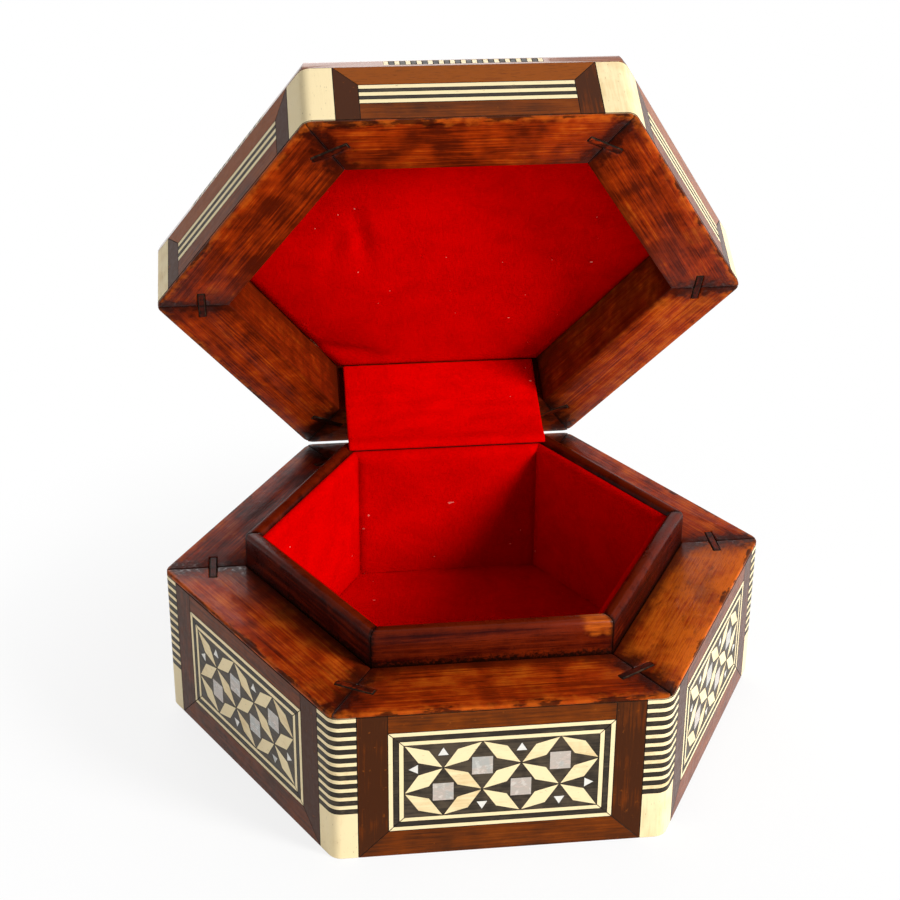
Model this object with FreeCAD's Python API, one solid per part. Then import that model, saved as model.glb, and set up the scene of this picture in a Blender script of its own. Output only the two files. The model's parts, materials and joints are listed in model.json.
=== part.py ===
"""Six-sided inlaid wooden trinket box with a hinged lid, modelled with the lid standing open.

Frame: millimetres, +Z up, origin at the centre of the underside, front side facing -Y, hinge at the back.
Every piece of a side is drawn on the front side and turned round the box. The lid is drawn shut and then
turned open about its hinge pins.
"""

import FreeCAD
import Part
import math
import os

Vector = FreeCAD.Vector

# Whole box
side = 70.0                # outer side of the hexagon
base_height = 36.0         # underside to rim of the base
lid_height = 19.4          # rim of the lid to its top face
rim_gap = 0.3              # between the two rims when shut
lid_open = 59.5            # how far the lid stands open, degrees

# Boards under the inlay
skin = 1.2                 # thickness of veneer and inlay
base_wall = 14.9           # thickness of the base's boards
lid_wall = 13.6            # thickness of the lid's boards
floor_board = 7.0          # thickness of the bottom board
top_board = 4.0            # thickness of the board under the lid's inlay
rim_lip = 1.0              # height of the rims' edge that covers the veneer and the posts
key_length = 9.0           # corner key, across the mitre
key_thick = 1.8            # corner key, along the mitre

# Collar that the lid closes over
collar_thick = 3.5
collar_rise = 8.5          # above the base's rim
collar_round = 1.3         # rounding of the collar's top edges

# Velvet
lining = 1.6               # wall lining of the well
lining_drop = 0.7          # lining's top edge below the collar's top
floor_velvet = 1.5         # pad on the well's floor
lid_pad = 2.4              # lid pad at the middle of its crown
lid_pad_edge = 1.2         # lid pad at its rim
lid_pad_roll = 2.5         # width of the pad's rolled rim
lid_pad_crown = 16.0       # width of the slope from the rolled rim to the crown
pad_clear = 0.3            # between a pad and the wall round it
strap_width = 50.0
strap_thick = 1.2
strap_clear = 0.3          # between the strap and the wood
strap_turn = 2.0           # depth in the lid at which the strap turns over the rim

# Corner posts
corner_radius = 3.2
base_post_wrap = 5.2       # width of a base post on each side
lid_post_wrap = 6.5        # width of a lid post on each side
post_foot = 11.5           # plain bone foot of a base post
post_bands = 11            # pairs of bone and ebony bands above the foot

# Veneer frames and panels on the sides
base_stile = 6.3
base_top_rail = 5.2        # with the rim's lip
base_bottom_rail = 6.3
lid_stile = 5.2
lid_bottom_rail = 5.5      # with the rim's lip
bone_line = 1.05           # fine bone line round a panel
ebony_line = 1.15          # ebony line between two bone lines
lid_bone_line = 1.2        # long bone lines on the lid's sides
lid_ebony_line = 0.9

# Mosaic of the side panels: diagonal bone lozenges on a grid of cells
cells_across = 5
cells_up = 3
lozenge_width = 3.8
pearl_square = 4.5
pearl_chip = 2.5           # small triangles along the panel's edges
pearl_chip_inset = 0.8     # from the edge of the field

# Shoulder and top of the lid
shoulder_rise = 3.2        # steep bevel round the top edge, upwards
shoulder_in = 1.2          # the bevel, inwards
band_width = 5.0           # edge band on the top face
dash_count = 14
dash_pitch = 2.4
dash_length = 1.2
dash_width = 2.0           # dashed strip, across the bevel
dash_depth = 0.3
top_border = 8.2           # walnut border inside the edge band
star_margin = 1.7          # from a lozenge's side corner to the centre of the triangle beside it
star_pearl = 5.2           # side of the pearl triangles between the stars
star_rows = 3              # triangles along each side of the star field

# Butt hinges
hinge_offset = 0.3         # pin's axis behind the back face
hinge_inset = 0.3          # from a leaf's end to the narrower panel's edge
leaf_length = 16.0
leaf_width = 9.0           # from the pin's axis
leaf_thick = 0.8
knuckle_radius = 1.4
knuckle_gap = 0.3
pin_radius = 0.7
pin_clear = 0.05
screw_radius = 0.8
screw_head = 1.5
screw_length = 7.0
screw_spacing = 9.0
screw_setback = 5.5        # from the pin's axis

# Worked out from the sizes above
TAN = math.tan(math.radians(30))
COS = math.cos(math.radians(30))
SIN = 0.5
apothem = side / 2 / TAN
board_face = apothem - skin
well_face = board_face - base_wall
lid_face = board_face - lid_wall
collar_face = well_face - collar_thick
collar_top = base_height + collar_rise
lining_face = collar_face - lining
well_floor = floor_board + floor_velvet
hinge_y = apothem + hinge_offset
hinge_z = base_height + rim_gap / 2
base_veneer_top = base_height - rim_lip
lid_rim = base_height + rim_gap
lid_veneer_foot = lid_rim + rim_lip
lid_top = lid_rim + lid_height
shoulder_foot = lid_top - shoulder_rise
board_top = lid_top - skin
ceiling = board_top - top_board
base_post_edge = side / 2 - base_post_wrap
lid_post_edge = side / 2 - lid_post_wrap
base_panel_half = base_post_edge - base_stile
lid_panel_half = lid_post_edge - lid_stile
star_lines = 2 * bone_line + ebony_line
star_face = apothem - band_width - top_border - star_lines
star_pitch = star_face / COS / star_rows
star_lozenge = star_pitch * TAN - 2 * star_margin
hinge_x = min(base_panel_half, lid_panel_half) - hinge_inset - leaf_length / 2
far = 4 * side
parts_folder = "parts"
sides = ("front", "front_right", "back_right", "back", "back_left", "front_left")
back = sides.index("back")


def box(x0, x1, y0, y1, z0, z1):
    return Part.makeBox(x1 - x0, y1 - y0, z1 - z0, Vector(x0, y0, z0))


def outline(points):
    """Flat face through corner points."""
    return Part.Face(Part.makePolygon(list(points) + [points[0]]))


def upright(points, z0, z1):
    """Prism standing on a plan of (x, y) points."""
    return outline([Vector(x, y, z0) for x, y in points]).extrude(Vector(0, 0, z1 - z0))


def on_front(points):
    """Flat face on the front side's outer plane, from (along, height) points."""
    return outline([Vector(x, -apothem, z) for x, z in points])


def inlay(face):
    """Sinks a face of the front side into the box by the thickness of the inlay."""
    return face.extrude(Vector(0, skin, 0))


def turned(shape, number):
    """The same piece on another side of the box, counted from the front."""
    copy = shape.copy()
    copy.rotate(Vector(0, 0, 0), Vector(0, 0, 1), 60 * number)
    return copy


def all_round(shapes):
    return [turned(shape, number) for number in range(6) for shape in shapes]


def opened(shape):
    """Turns a piece of the shut lid about the hinge pins to where it stands."""
    copy = shape.copy()
    copy.rotate(Vector(0, hinge_y, hinge_z), Vector(-1, 0, 0), lid_open)
    return copy


def opened_point(y, height):
    """Place (y, z) of a point of the lid, given shut, once the lid stands open."""
    turn = math.radians(lid_open)
    dy = y - hinge_y
    dz = lid_rim + height - hinge_z
    new_y = hinge_y + dy * math.cos(turn) + dz * math.sin(turn)
    new_z = hinge_z - dy * math.sin(turn) + dz * math.cos(turn)
    return new_y, new_z


def save(name, shapes):
    whole = shapes[0] if len(shapes) == 1 else Part.makeCompound(shapes)
    whole.exportStep(os.path.join(parts_folder, name + ".step"))


def save_lid(name, shapes):
    save(name, [opened(shape) for shape in shapes])


def hexagon(face_distance, z):
    """Corner points of a hexagon, from the distance of its sides."""
    radius = face_distance / COS
    angles = [math.radians(60 * number) for number in range(6)]
    return [Vector(radius * math.cos(a), radius * math.sin(a), z) for a in angles]


def hexagon_plate(face_distance, z0, z1):
    return outline(hexagon(face_distance, z0)).extrude(Vector(0, 0, z1 - z0))


def side_bar(profile):
    """Mitred bar along the front side, from a profile of (distance out, height) points."""
    section = outline([Vector(-far, -out, z) for out, z in profile])
    wedge = upright([(0, 0), (far * TAN, -far), (-far * TAN, -far)], -far, far)
    return section.extrude(Vector(2 * far, 0, 0)).common(wedge)


def post_flat(post_edge):
    """Distance from the axis of the flat that a corner post is glued to."""
    return SIN * post_edge + COS * board_face


def wall_board(post_edge, inner, z0, z1):
    """Mitred board of the front side, with its outer corners cut flat for the posts."""
    flat = post_flat(post_edge)
    plan = [
        (-post_edge, -board_face),
        (post_edge, -board_face),
        (flat * SIN, -flat * COS),
        (inner * TAN, -inner),
        (-inner * TAN, -inner),
        (-flat * SIN, -flat * COS),
    ]
    return upright(plan, z0, z1)


def corner_key(post_edge, inner, z0, z1):
    """Slip of wood let in across the mitre at the right end of the front side."""
    reach = (post_flat(post_edge) + inner / COS) / 2
    key = box(reach - key_thick / 2, reach + key_thick / 2, -key_length / 2, key_length / 2, z0, z1)
    key.rotate(Vector(0, 0, 0), Vector(0, 0, 1), -60)
    return key


def corner_post(post_edge, z0, z1):
    """Length of a rounded corner post at the right end of the front side."""
    along = Vector(SIN, -COS, 0)
    middle = along * ((apothem - corner_radius) / COS)
    start = Vector((apothem - corner_radius) * TAN, -apothem, 0)
    crown = middle + along * corner_radius

    def mirrored(point):
        return along * (2 * point.dot(along)) - point

    inner_edge = Vector(post_edge, -board_face, 0)
    outer_edge = Vector(post_edge, -apothem, 0)
    edges = [
        Part.LineSegment(inner_edge, outer_edge),
        Part.LineSegment(outer_edge, start),
        Part.Arc(start, crown, mirrored(start)),
        Part.LineSegment(mirrored(start), mirrored(outer_edge)),
        Part.LineSegment(mirrored(outer_edge), mirrored(inner_edge)),
        Part.LineSegment(mirrored(inner_edge), inner_edge),
    ]
    plan = Part.Face(Part.Wire([edge.toShape() for edge in edges]))
    plan.translate(Vector(0, 0, z0))
    return plan.extrude(Vector(0, 0, z1 - z0))


def rounded_block(z0, z1):
    """The whole box's outline with its rounded corners."""
    block = hexagon_plate(apothem, z0, z1)
    corners = [edge for edge in block.Edges if abs(edge.tangentAt(edge.FirstParameter).z) > COS]
    return block.makeFillet(corner_radius, corners)


def lip_bar(inner, z0, z1):
    """Edge of the front board at its rim, out to the box's outer face."""
    bar = side_bar([(inner, z0), (apothem, z0), (apothem, z1), (inner, z1)])
    return bar.common(rounded_block(z0, z1))


def mirrored_pair(points):
    """A piece on the front side and its twin on the other half."""
    return [inlay(on_front(points)), inlay(on_front([(-x, z) for x, z in points]))]


def line_frame(half, z0, z1, width):
    """Four mitred strips just inside a rectangle on the front side."""
    outer = [(-half, z0), (half, z0), (half, z1), (-half, z1)]
    low = z0 + width
    high = z1 - width
    inner = [(width - half, low), (half - width, low), (half - width, high), (width - half, high)]
    strips = []
    for number in range(4):
        after = (number + 1) % 4
        strip = [outer[number], outer[after], inner[after], inner[number]]
        strips.append(inlay(on_front(strip)))
    return strips


def lozenge(start, end, width):
    """Corner points of a lozenge whose tips are at start and end."""
    run = (end[0] - start[0], end[1] - start[1])
    length = math.hypot(*run)
    across = (-run[1] / length * width / 2, run[0] / length * width / 2)
    centre = ((start[0] + end[0]) / 2, (start[1] + end[1]) / 2)
    one = (centre[0] + across[0], centre[1] + across[1])
    other = (centre[0] - across[0], centre[1] - across[1])
    return [start, one, end, other]


def separate(shape):
    """The faces of a flat shape as single pieces."""
    return list(shape.Faces)


class Hinge:
    """One butt hinge at a place along the back."""

    def __init__(self, x):
        self.x = x
        self.middle = (leaf_length - 2 * knuckle_gap) / 6

    def barrel(self, x0, x1, radius):
        start = Vector(self.x + x0, hinge_y, hinge_z)
        return Part.makeCylinder(radius, x1 - x0, start, Vector(1, 0, 0))

    def plate(self, z0, z1):
        half = leaf_length / 2
        return box(self.x - half, self.x + half, hinge_y - leaf_width, hinge_y, z0, z1)

    def sweep(self, x0, x1):
        return self.barrel(x0, x1, knuckle_radius + knuckle_gap)

    def bore(self):
        return self.barrel(-leaf_length, leaf_length, pin_radius + pin_clear)

    def screws(self, z, down):
        """Two countersunk screws driven in from the leaf's face at height z."""
        drive = Vector(0, 0, -1) if down else Vector(0, 0, 1)
        made = []
        for step in (-1, 1):
            head = Vector(self.x + step * screw_spacing / 2, hinge_y - screw_setback, z)
            cone = Part.makeCone(screw_head, screw_radius, leaf_thick, head, drive)
            shank = Part.makeCylinder(screw_radius, screw_length, head, drive)
            made.append(cone.fuse(shank).removeSplitter())
        return made

    def base_leaf(self):
        half = leaf_length / 2
        gap = self.middle + knuckle_gap
        leaf = self.plate(base_height - leaf_thick, base_height)
        leaf = leaf.fuse(self.barrel(-half, -gap, knuckle_radius))
        leaf = leaf.fuse(self.barrel(gap, half, knuckle_radius))
        leaf = leaf.cut(self.sweep(-gap, gap)).cut(self.bore())
        for screw in self.screws(base_height, True):
            leaf = leaf.cut(screw)
        return leaf.removeSplitter()

    def lid_leaf(self):
        half = leaf_length / 2
        leaf = self.plate(lid_rim, lid_rim + leaf_thick)
        leaf = leaf.fuse(self.barrel(-self.middle, self.middle, knuckle_radius))
        leaf = leaf.cut(self.sweep(-half - knuckle_gap, -self.middle))
        leaf = leaf.cut(self.sweep(self.middle, half + knuckle_gap)).cut(self.bore())
        for screw in self.screws(lid_rim, False):
            leaf = leaf.cut(screw)
        return leaf.removeSplitter()

    def pin(self):
        return self.barrel(-leaf_length / 2, leaf_length / 2, pin_radius)

    def clear_base(self, shape):
        """Lets the base leaf, its screws and the knuckles into a piece of the base."""
        half = leaf_length / 2 + knuckle_gap
        shape = shape.cut(self.plate(base_height - leaf_thick, base_height)).cut(self.sweep(-half, half))
        for screw in self.screws(base_height, True):
            shape = shape.cut(screw)
        return shape

    def clear_lid(self, shape):
        """Lets the lid leaf, its screws and the knuckles into a piece of the lid."""
        half = leaf_length / 2 + knuckle_gap
        shape = shape.cut(self.plate(lid_rim, lid_rim + leaf_thick)).cut(self.sweep(-half, half))
        for screw in self.screws(lid_rim, False):
            shape = shape.cut(screw)
        return shape


hinges = [Hinge(-hinge_x), Hinge(hinge_x)]


def cleared_base(shape):
    for hinge in hinges:
        shape = hinge.clear_base(shape)
    return shape


def cleared_lid(shape):
    for hinge in hinges:
        shape = hinge.clear_lid(shape)
    return shape


def build_base_boards():
    key = corner_key(base_post_edge, well_face, 0, base_height)
    left_key = turned(key, -1)
    board = wall_board(base_post_edge, well_face, 0, base_height)
    board = board.fuse(lip_bar(well_face, base_veneer_top, base_height)).removeSplitter()
    board = board.cut(key).cut(left_key)
    for number, name in enumerate(sides):
        wall = turned(board, number)
        if number == back:
            wall = cleared_base(wall)
        save("base_wall_" + name, [wall])
    save("base_corner_keys", all_round([key]))
    save("bottom_board", [hexagon_plate(well_face, 0, floor_board)])


def build_collar():
    profile = [
        (collar_face, floor_board),
        (well_face, floor_board),
        (well_face, collar_top - collar_round),
        (well_face - collar_round * (1 - COS), collar_top - collar_round * SIN),
        (well_face - collar_round * SIN, collar_top - collar_round * (1 - COS)),
        (well_face - collar_round, collar_top),
        (collar_face + collar_round, collar_top),
        (collar_face + collar_round * SIN, collar_top - collar_round * (1 - COS)),
        (collar_face, collar_top - collar_round),
    ]
    strip = side_bar(profile)
    for number, name in enumerate(sides):
        save("collar_" + name, [turned(strip, number)])


def build_well_lining():
    edge = collar_top - lining_drop - collar_round
    panel = side_bar([
        (lining_face, well_floor),
        (collar_face, well_floor),
        (collar_face, edge),
        (lining_face + lining / 2, edge + lining_drop),
        (lining_face, edge),
    ])
    save("well_linings", all_round([panel]))
    save("well_floor_velvet", [hexagon_plate(collar_face, floor_board, well_floor)])


def build_base_posts():
    foot = corner_post(base_post_edge, 0, post_foot)
    pitch = (base_veneer_top - post_foot) / post_bands
    ebony = []
    bone = []
    for number in range(post_bands):
        low = post_foot + number * pitch
        middle = low + pitch / 2
        ebony.append(corner_post(base_post_edge, low, middle))
        bone.append(corner_post(base_post_edge, middle, low + pitch))
    save("base_post_feet", all_round([foot]))
    save("base_post_ebony_bands", all_round(ebony))
    save("base_post_bone_bands", all_round(bone))


def build_base_frames():
    """Walnut frame of each base side: rails mitred at the foot, butted at the rim."""
    half = base_panel_half
    low = base_bottom_rail
    high = base_height - base_top_rail
    top = base_veneer_top
    stile = [(half, low), (base_post_edge, 0), (base_post_edge, top), (half, top)]
    foot_rail = [(-base_post_edge, 0), (base_post_edge, 0), (half, low), (-half, low)]
    rim_rail = inlay(on_front([(-half, high), (half, high), (half, top), (-half, top)]))
    save("base_stiles", all_round(mirrored_pair(stile)))
    save("base_foot_rails", all_round([inlay(on_front(foot_rail))]))
    rim_rails = all_round([rim_rail])
    rim_rails[back] = cleared_base(rim_rails[back])
    save("base_rim_rails", rim_rails)


def panel_mosaic(half, low, high):
    """Bone, pearl and ebony tiles of one side panel, flush in its field."""
    step_x = 2 * half / cells_across
    step_z = (high - low) / cells_up

    def node(i, j):
        return (i * step_x - half, high - j * step_z)

    bone = []
    for i in range(cells_across):
        for j in range(cells_up):
            rising = (i + j) % 2
            start = node(i + rising, j)
            end = node(i + 1 - rising, j + 1)
            bone.append(on_front(lozenge(start, end, lozenge_width)))
    bone_all = Part.makeCompound(bone)
    pearl = []
    for i in range(cells_across + 1):
        for j in range(cells_up + 1):
            if (i + j) % 2 == 0:
                continue
            pearl += pearl_tile(node(i, j), i, j, bone_all)
    field = on_front([(-half, low), (half, low), (half, high), (-half, high)])
    ebony = separate(field.cut(bone_all).cut(Part.makeCompound(pearl)))
    return [[inlay(face) for face in faces] for faces in (bone, pearl, ebony)]


def pearl_tile(place, i, j, bone_all):
    """Square inside the field, triangle at its edge, nothing in its corners."""
    inward_x = (i == 0) - (i == cells_across)
    inward_z = (j == cells_up) - (j == 0)
    if inward_x and inward_z:
        return []
    x, z = place
    if inward_x or inward_z:
        near = pearl_chip_inset
        wide = pearl_chip_inset + pearl_chip * COS
        half = pearl_chip / 2
        points = [
            (x + inward_x * near, z + inward_z * near),
            (x + inward_x * wide + inward_z * half, z + inward_z * wide + inward_x * half),
            (x + inward_x * wide - inward_z * half, z + inward_z * wide - inward_x * half),
        ]
    else:
        half = pearl_square / 2
        points = [(x - half, z - half), (x + half, z - half), (x + half, z + half), (x - half, z + half)]
    return separate(on_front(points).cut(bone_all))


def build_base_panels():
    half = base_panel_half
    low = base_bottom_rail
    high = base_height - base_top_rail
    step = bone_line + ebony_line
    inset = step + bone_line
    bone_lines = line_frame(half, low, high, bone_line)
    bone_lines += line_frame(half - step, low + step, high - step, bone_line)
    ebony_lines = line_frame(half - bone_line, low + bone_line, high - bone_line, ebony_line)
    bone, pearl, ebony = panel_mosaic(half - inset, low + inset, high - inset)
    save("base_bone_lines", all_round(bone_lines))
    save("base_ebony_lines", all_round(ebony_lines))
    save("base_bone_lozenges", all_round(bone))
    save("base_pearl_tiles", all_round(pearl))
    save("base_ebony_ground", all_round(ebony))


def build_lid_boards():
    key = corner_key(lid_post_edge, lid_face, lid_rim, ceiling)
    left_key = turned(key, -1)
    board = wall_board(lid_post_edge, lid_face, lid_rim, ceiling)
    board = board.fuse(lip_bar(lid_face, lid_rim, lid_veneer_foot)).removeSplitter()
    board = board.cut(key).cut(left_key)
    for number, name in enumerate(sides):
        wall = turned(board, number)
        if number == back:
            wall = cleared_lid(wall)
        save_lid("lid_wall_" + name, [wall])
    save_lid("lid_corner_keys", all_round([key]))
    flat = post_flat(lid_post_edge)
    plan = []
    for number in range(6):
        turn = FreeCAD.Rotation(Vector(0, 0, 1), 60 * number)
        for x, y in ((-lid_post_edge, -board_face), (lid_post_edge, -board_face), (flat * SIN, -flat * COS)):
            corner = turn.multVec(Vector(x, y, 0))
            plan.append((corner.x, corner.y))
    save_lid("lid_top_board", [upright(plan, ceiling, board_top)])


def build_lid_sides():
    """Bone posts, walnut frames mitred at the top, and three long bone lines on each side."""
    half = lid_panel_half
    low = lid_rim + lid_bottom_rail
    high = low + 3 * lid_bone_line + 2 * lid_ebony_line
    top = shoulder_foot
    foot = lid_veneer_foot
    stile = [(half, high), (half, foot), (lid_post_edge, foot), (lid_post_edge, top)]
    rim_rail = inlay(on_front([(-half, foot), (half, foot), (half, low), (-half, low)]))
    top_rail = inlay(on_front([(-half, high), (half, high), (lid_post_edge, top), (-lid_post_edge, top)]))
    bone = []
    ebony = []
    level = low
    for number in range(3):
        bone.append(box(-half, half, -apothem, -board_face, level, level + lid_bone_line))
        level += lid_bone_line
        if number < 2:
            ebony.append(box(-half, half, -apothem, -board_face, level, level + lid_ebony_line))
            level += lid_ebony_line
    rim_rails = all_round([rim_rail])
    rim_rails[back] = cleared_lid(rim_rails[back])
    save_lid("lid_posts", all_round([corner_post(lid_post_edge, foot, top)]))
    save_lid("lid_stiles", all_round(mirrored_pair(stile)))
    save_lid("lid_rim_rails", rim_rails)
    save_lid("lid_top_rails", all_round([top_rail]))
    save_lid("lid_bone_lines", all_round(bone))
    save_lid("lid_ebony_lines", all_round(ebony))


def bevel_strip(x0, x1):
    """Slip let into the bevel of the lid's front edge, flush with its face."""
    strip = box(x0, x1, 0, dash_depth, -dash_width / 2, dash_width / 2)
    lean = math.degrees(math.atan2(shoulder_in, shoulder_rise))
    strip.rotate(Vector(0, 0, 0), Vector(1, 0, 0), -lean)
    strip.translate(Vector(0, -apothem + shoulder_in / 2, lid_top - shoulder_rise / 2))
    return strip


def build_lid_edge():
    band = side_bar([
        (apothem, shoulder_foot),
        (apothem - shoulder_in, lid_top),
        (apothem - band_width, lid_top),
        (apothem - band_width, board_top),
        (board_face, board_top),
        (board_face, shoulder_foot),
    ])
    band = band.common(rounded_block(shoulder_foot, lid_top))
    span = (dash_count - 1) * dash_pitch + dash_length
    margin = dash_pitch - dash_length
    start = -span / 2
    ebony = []
    bone = [bevel_strip(start - margin, start)]
    for number in range(dash_count):
        x = start + number * dash_pitch
        ebony.append(bevel_strip(x, x + dash_length))
        bone.append(bevel_strip(x + dash_length, x + dash_pitch))
    band = band.cut(bevel_strip(start - margin, start + dash_count * dash_pitch))
    save_lid("lid_edge_bands", all_round([band]))
    save_lid("lid_edge_bone_dashes", all_round(bone))
    save_lid("lid_edge_ebony_dashes", all_round(ebony))


def ring_strip(outer, inner):
    """One mitred strip of a six-sided ring in the lid's top face."""
    plan = [(-outer * TAN, -outer), (outer * TAN, -outer), (inner * TAN, -inner), (-inner * TAN, -inner)]
    return upright(plan, board_top, lid_top)


def star_field():
    """Bone, pearl and ebony tiles of the six-fold stars on the lid's top."""
    def node(i, j):
        return (star_pitch * (i + j / 2), star_pitch * COS * j)

    def inside(i, j):
        return max(abs(i), abs(j), abs(i + j)) <= star_rows

    def flat(points):
        return outline([Vector(x, y, board_top) for x, y in points])

    reach = range(-star_rows, star_rows + 1)
    nodes = [(i, j) for i in reach for j in reach if inside(i, j)]
    bone = []
    pearl = []
    half = star_pearl / 2
    short = half * TAN
    for i, j in nodes:
        for di, dj in ((1, 0), (0, 1), (-1, 1)):
            if inside(i + di, j + dj):
                bone.append(flat(lozenge(node(i, j), node(i + di, j + dj), star_lozenge)))
        for dj, point in ((1, 1), (-1, -1)):
            if not (inside(i + 1, j) and inside(i + (dj < 0), j + dj)):
                continue
            x, y = node(i, j)
            centre_x = x + star_pitch / 2
            centre_y = y + point * star_pitch / 2 * TAN
            foot = centre_y - point * short
            tip = centre_y + point * 2 * short
            pearl.append([(centre_x - half, foot), (centre_x + half, foot), (centre_x, tip)])
    field = outline(hexagon(star_face, board_top))
    bone = [piece for face in bone for piece in separate(face.common(field))]
    bone_all = Part.makeCompound(bone)
    pearl_faces = [piece for points in pearl for piece in separate(flat(points).cut(bone_all))]
    ebony = separate(field.cut(bone_all).cut(Part.makeCompound(pearl_faces)))
    rise = Vector(0, 0, skin)
    return [[face.extrude(rise) for face in faces] for faces in (bone, pearl_faces, ebony)]


def build_lid_top():
    bone, pearl, ebony = star_field()
    second = star_face + bone_line
    third = second + ebony_line
    fourth = star_face + star_lines
    rings = [ring_strip(second, star_face), ring_strip(fourth, third)]
    save_lid("lid_top_border", all_round([ring_strip(apothem - band_width, fourth)]))
    save_lid("lid_top_bone_lines", all_round(rings))
    save_lid("lid_top_ebony_lines", all_round([ring_strip(third, second)]))
    save_lid("lid_top_bone_stars", bone)
    save_lid("lid_top_pearl", pearl)
    save_lid("lid_top_ebony_ground", ebony)


def build_lid_pad():
    """Velvet pad under the lid's top board, with a rolled rim and a low crown."""
    edge = lid_face - pad_clear
    sections = [
        (edge - lid_pad_roll / 4, 0),
        (edge, lid_pad_edge / 3),
        (edge - lid_pad_roll / 4, lid_pad_edge * 2 / 3),
        (edge - lid_pad_roll, lid_pad_edge),
        (edge - lid_pad_roll - lid_pad_crown, lid_pad),
    ]
    wires = []
    for distance, drop in sections:
        corners = hexagon(distance, ceiling - drop)
        wires.append(Part.makePolygon(corners + [corners[0]]))
    save_lid("lid_velvet_pad", [Part.makeLoft(wires, True, True)])


def banded(points, thick):
    """Closed outline of a band of even thickness along a line of (y, z) points."""
    upper = []
    lower = []
    for number, (y, z) in enumerate(points):
        before = points[max(number - 1, 0)]
        after = points[min(number + 1, len(points) - 1)]
        run_in = unit(before, (y, z)) if number else unit((y, z), after)
        run_out = unit((y, z), after) if number < len(points) - 1 else run_in
        lean = (run_in[0] + run_out[0], run_in[1] + run_out[1])
        size = math.hypot(*lean)
        normal = (-lean[1] / size, lean[0] / size)
        reach = thick / 2 / (normal[1] * run_in[0] - normal[0] * run_in[1])
        upper.append((y + normal[0] * reach, z + normal[1] * reach))
        lower.append((y - normal[0] * reach, z - normal[1] * reach))
    return upper + lower[::-1]


def unit(start, end):
    length = math.hypot(end[0] - start[0], end[1] - start[1])
    return ((end[0] - start[0]) / length, (end[1] - start[1]) / length)


def build_strap():
    """Velvet strap from the lid's recess over the rims to the top of the collar at the back."""
    away = strap_thick / 2 + strap_clear
    recess = lid_height - skin - top_board
    route = [
        opened_point(lid_face - away, recess - lid_pad_edge - strap_clear),
        opened_point(lid_face - away, strap_turn),
        (well_face - collar_round / 2, collar_top + away),
        (collar_face + collar_round / 2, collar_top + away),
    ]
    outline_points = [Vector(-strap_width / 2, y, z) for y, z in banded(route, strap_thick)]
    save("hinge_strap", [outline(outline_points).extrude(Vector(strap_width, 0, 0))])


def build_hinges():
    save("base_hinge_leaves", [hinge.base_leaf() for hinge in hinges])
    save("hinge_pins", [hinge.pin() for hinge in hinges])
    save("base_hinge_screws", [screw for hinge in hinges for screw in hinge.screws(base_height, True)])
    save_lid("lid_hinge_leaves", [hinge.lid_leaf() for hinge in hinges])
    save_lid("lid_hinge_screws", [screw for hinge in hinges for screw in hinge.screws(lid_rim, False)])


os.makedirs(parts_folder, exist_ok=True)
build_base_boards()
build_collar()
build_well_lining()
build_base_posts()
build_base_frames()
build_base_panels()
build_lid_boards()
build_lid_sides()
build_lid_edge()
build_lid_top()
build_lid_pad()
build_strap()
build_hinges()
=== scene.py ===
import json
import math
import random
from collections import namedtuple

import bpy
import numpy as np
from mathutils import Matrix, Vector, noise

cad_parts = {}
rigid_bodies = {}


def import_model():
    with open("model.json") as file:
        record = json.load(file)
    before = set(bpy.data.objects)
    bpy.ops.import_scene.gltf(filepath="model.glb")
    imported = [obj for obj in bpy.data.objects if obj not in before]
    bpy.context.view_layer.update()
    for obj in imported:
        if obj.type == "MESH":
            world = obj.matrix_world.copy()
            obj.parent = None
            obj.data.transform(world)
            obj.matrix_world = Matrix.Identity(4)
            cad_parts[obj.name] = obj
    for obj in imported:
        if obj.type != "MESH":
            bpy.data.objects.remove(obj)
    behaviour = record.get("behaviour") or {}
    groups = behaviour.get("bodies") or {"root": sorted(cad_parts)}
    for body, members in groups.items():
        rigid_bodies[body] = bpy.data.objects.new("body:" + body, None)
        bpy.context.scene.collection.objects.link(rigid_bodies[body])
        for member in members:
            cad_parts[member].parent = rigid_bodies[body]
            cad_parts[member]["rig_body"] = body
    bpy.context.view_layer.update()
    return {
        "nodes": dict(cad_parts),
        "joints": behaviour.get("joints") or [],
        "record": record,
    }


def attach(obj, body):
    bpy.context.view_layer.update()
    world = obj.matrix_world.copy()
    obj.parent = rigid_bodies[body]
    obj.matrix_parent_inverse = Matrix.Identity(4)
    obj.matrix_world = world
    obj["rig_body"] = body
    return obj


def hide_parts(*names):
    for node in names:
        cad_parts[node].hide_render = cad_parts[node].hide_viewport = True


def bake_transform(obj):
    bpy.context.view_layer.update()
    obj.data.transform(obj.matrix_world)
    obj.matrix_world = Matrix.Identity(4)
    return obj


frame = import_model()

bl_info = {
    "name": "Inlaid Wooden Box",
    "version": (1, 0, 0),
    "blender": (4, 5, 0),
    "location": "3D View > Sidebar > Inlaid Box",
    "description": "Finishes a six-sided inlaid box: polished rims, marquetry, velvet and brass",
    "category": "Object",
}

# The six sides, the hinge, and the turns that shut and open the lid
SIDES = ("front", "front_right", "back_right", "back", "back_left", "front_left")
HINGE = frame["joints"][0]
HINGE_PLACE = Vector(HINGE["pos_m"])
SHUT_TURN = Matrix.Rotation(math.radians(HINGE["range_deg"][0]), 4, Vector(HINGE["axis"]))
SHUT = Matrix.Translation(HINGE_PLACE) @ SHUT_TURN @ Matrix.Translation(-HINGE_PLACE)
OPEN = SHUT.inverted()
NODE_SLOTS = {part["node"]: part["material_slot"] for part in frame["record"]["subparts"]}

# The turn between two sides of a hexagon, the slope of its mitres, and a millimetre in metres
SIXTH = math.radians(60)
TAN30 = math.tan(SIXTH / 2)
COS30 = math.cos(SIXTH / 2)
MM = 0.001


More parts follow.
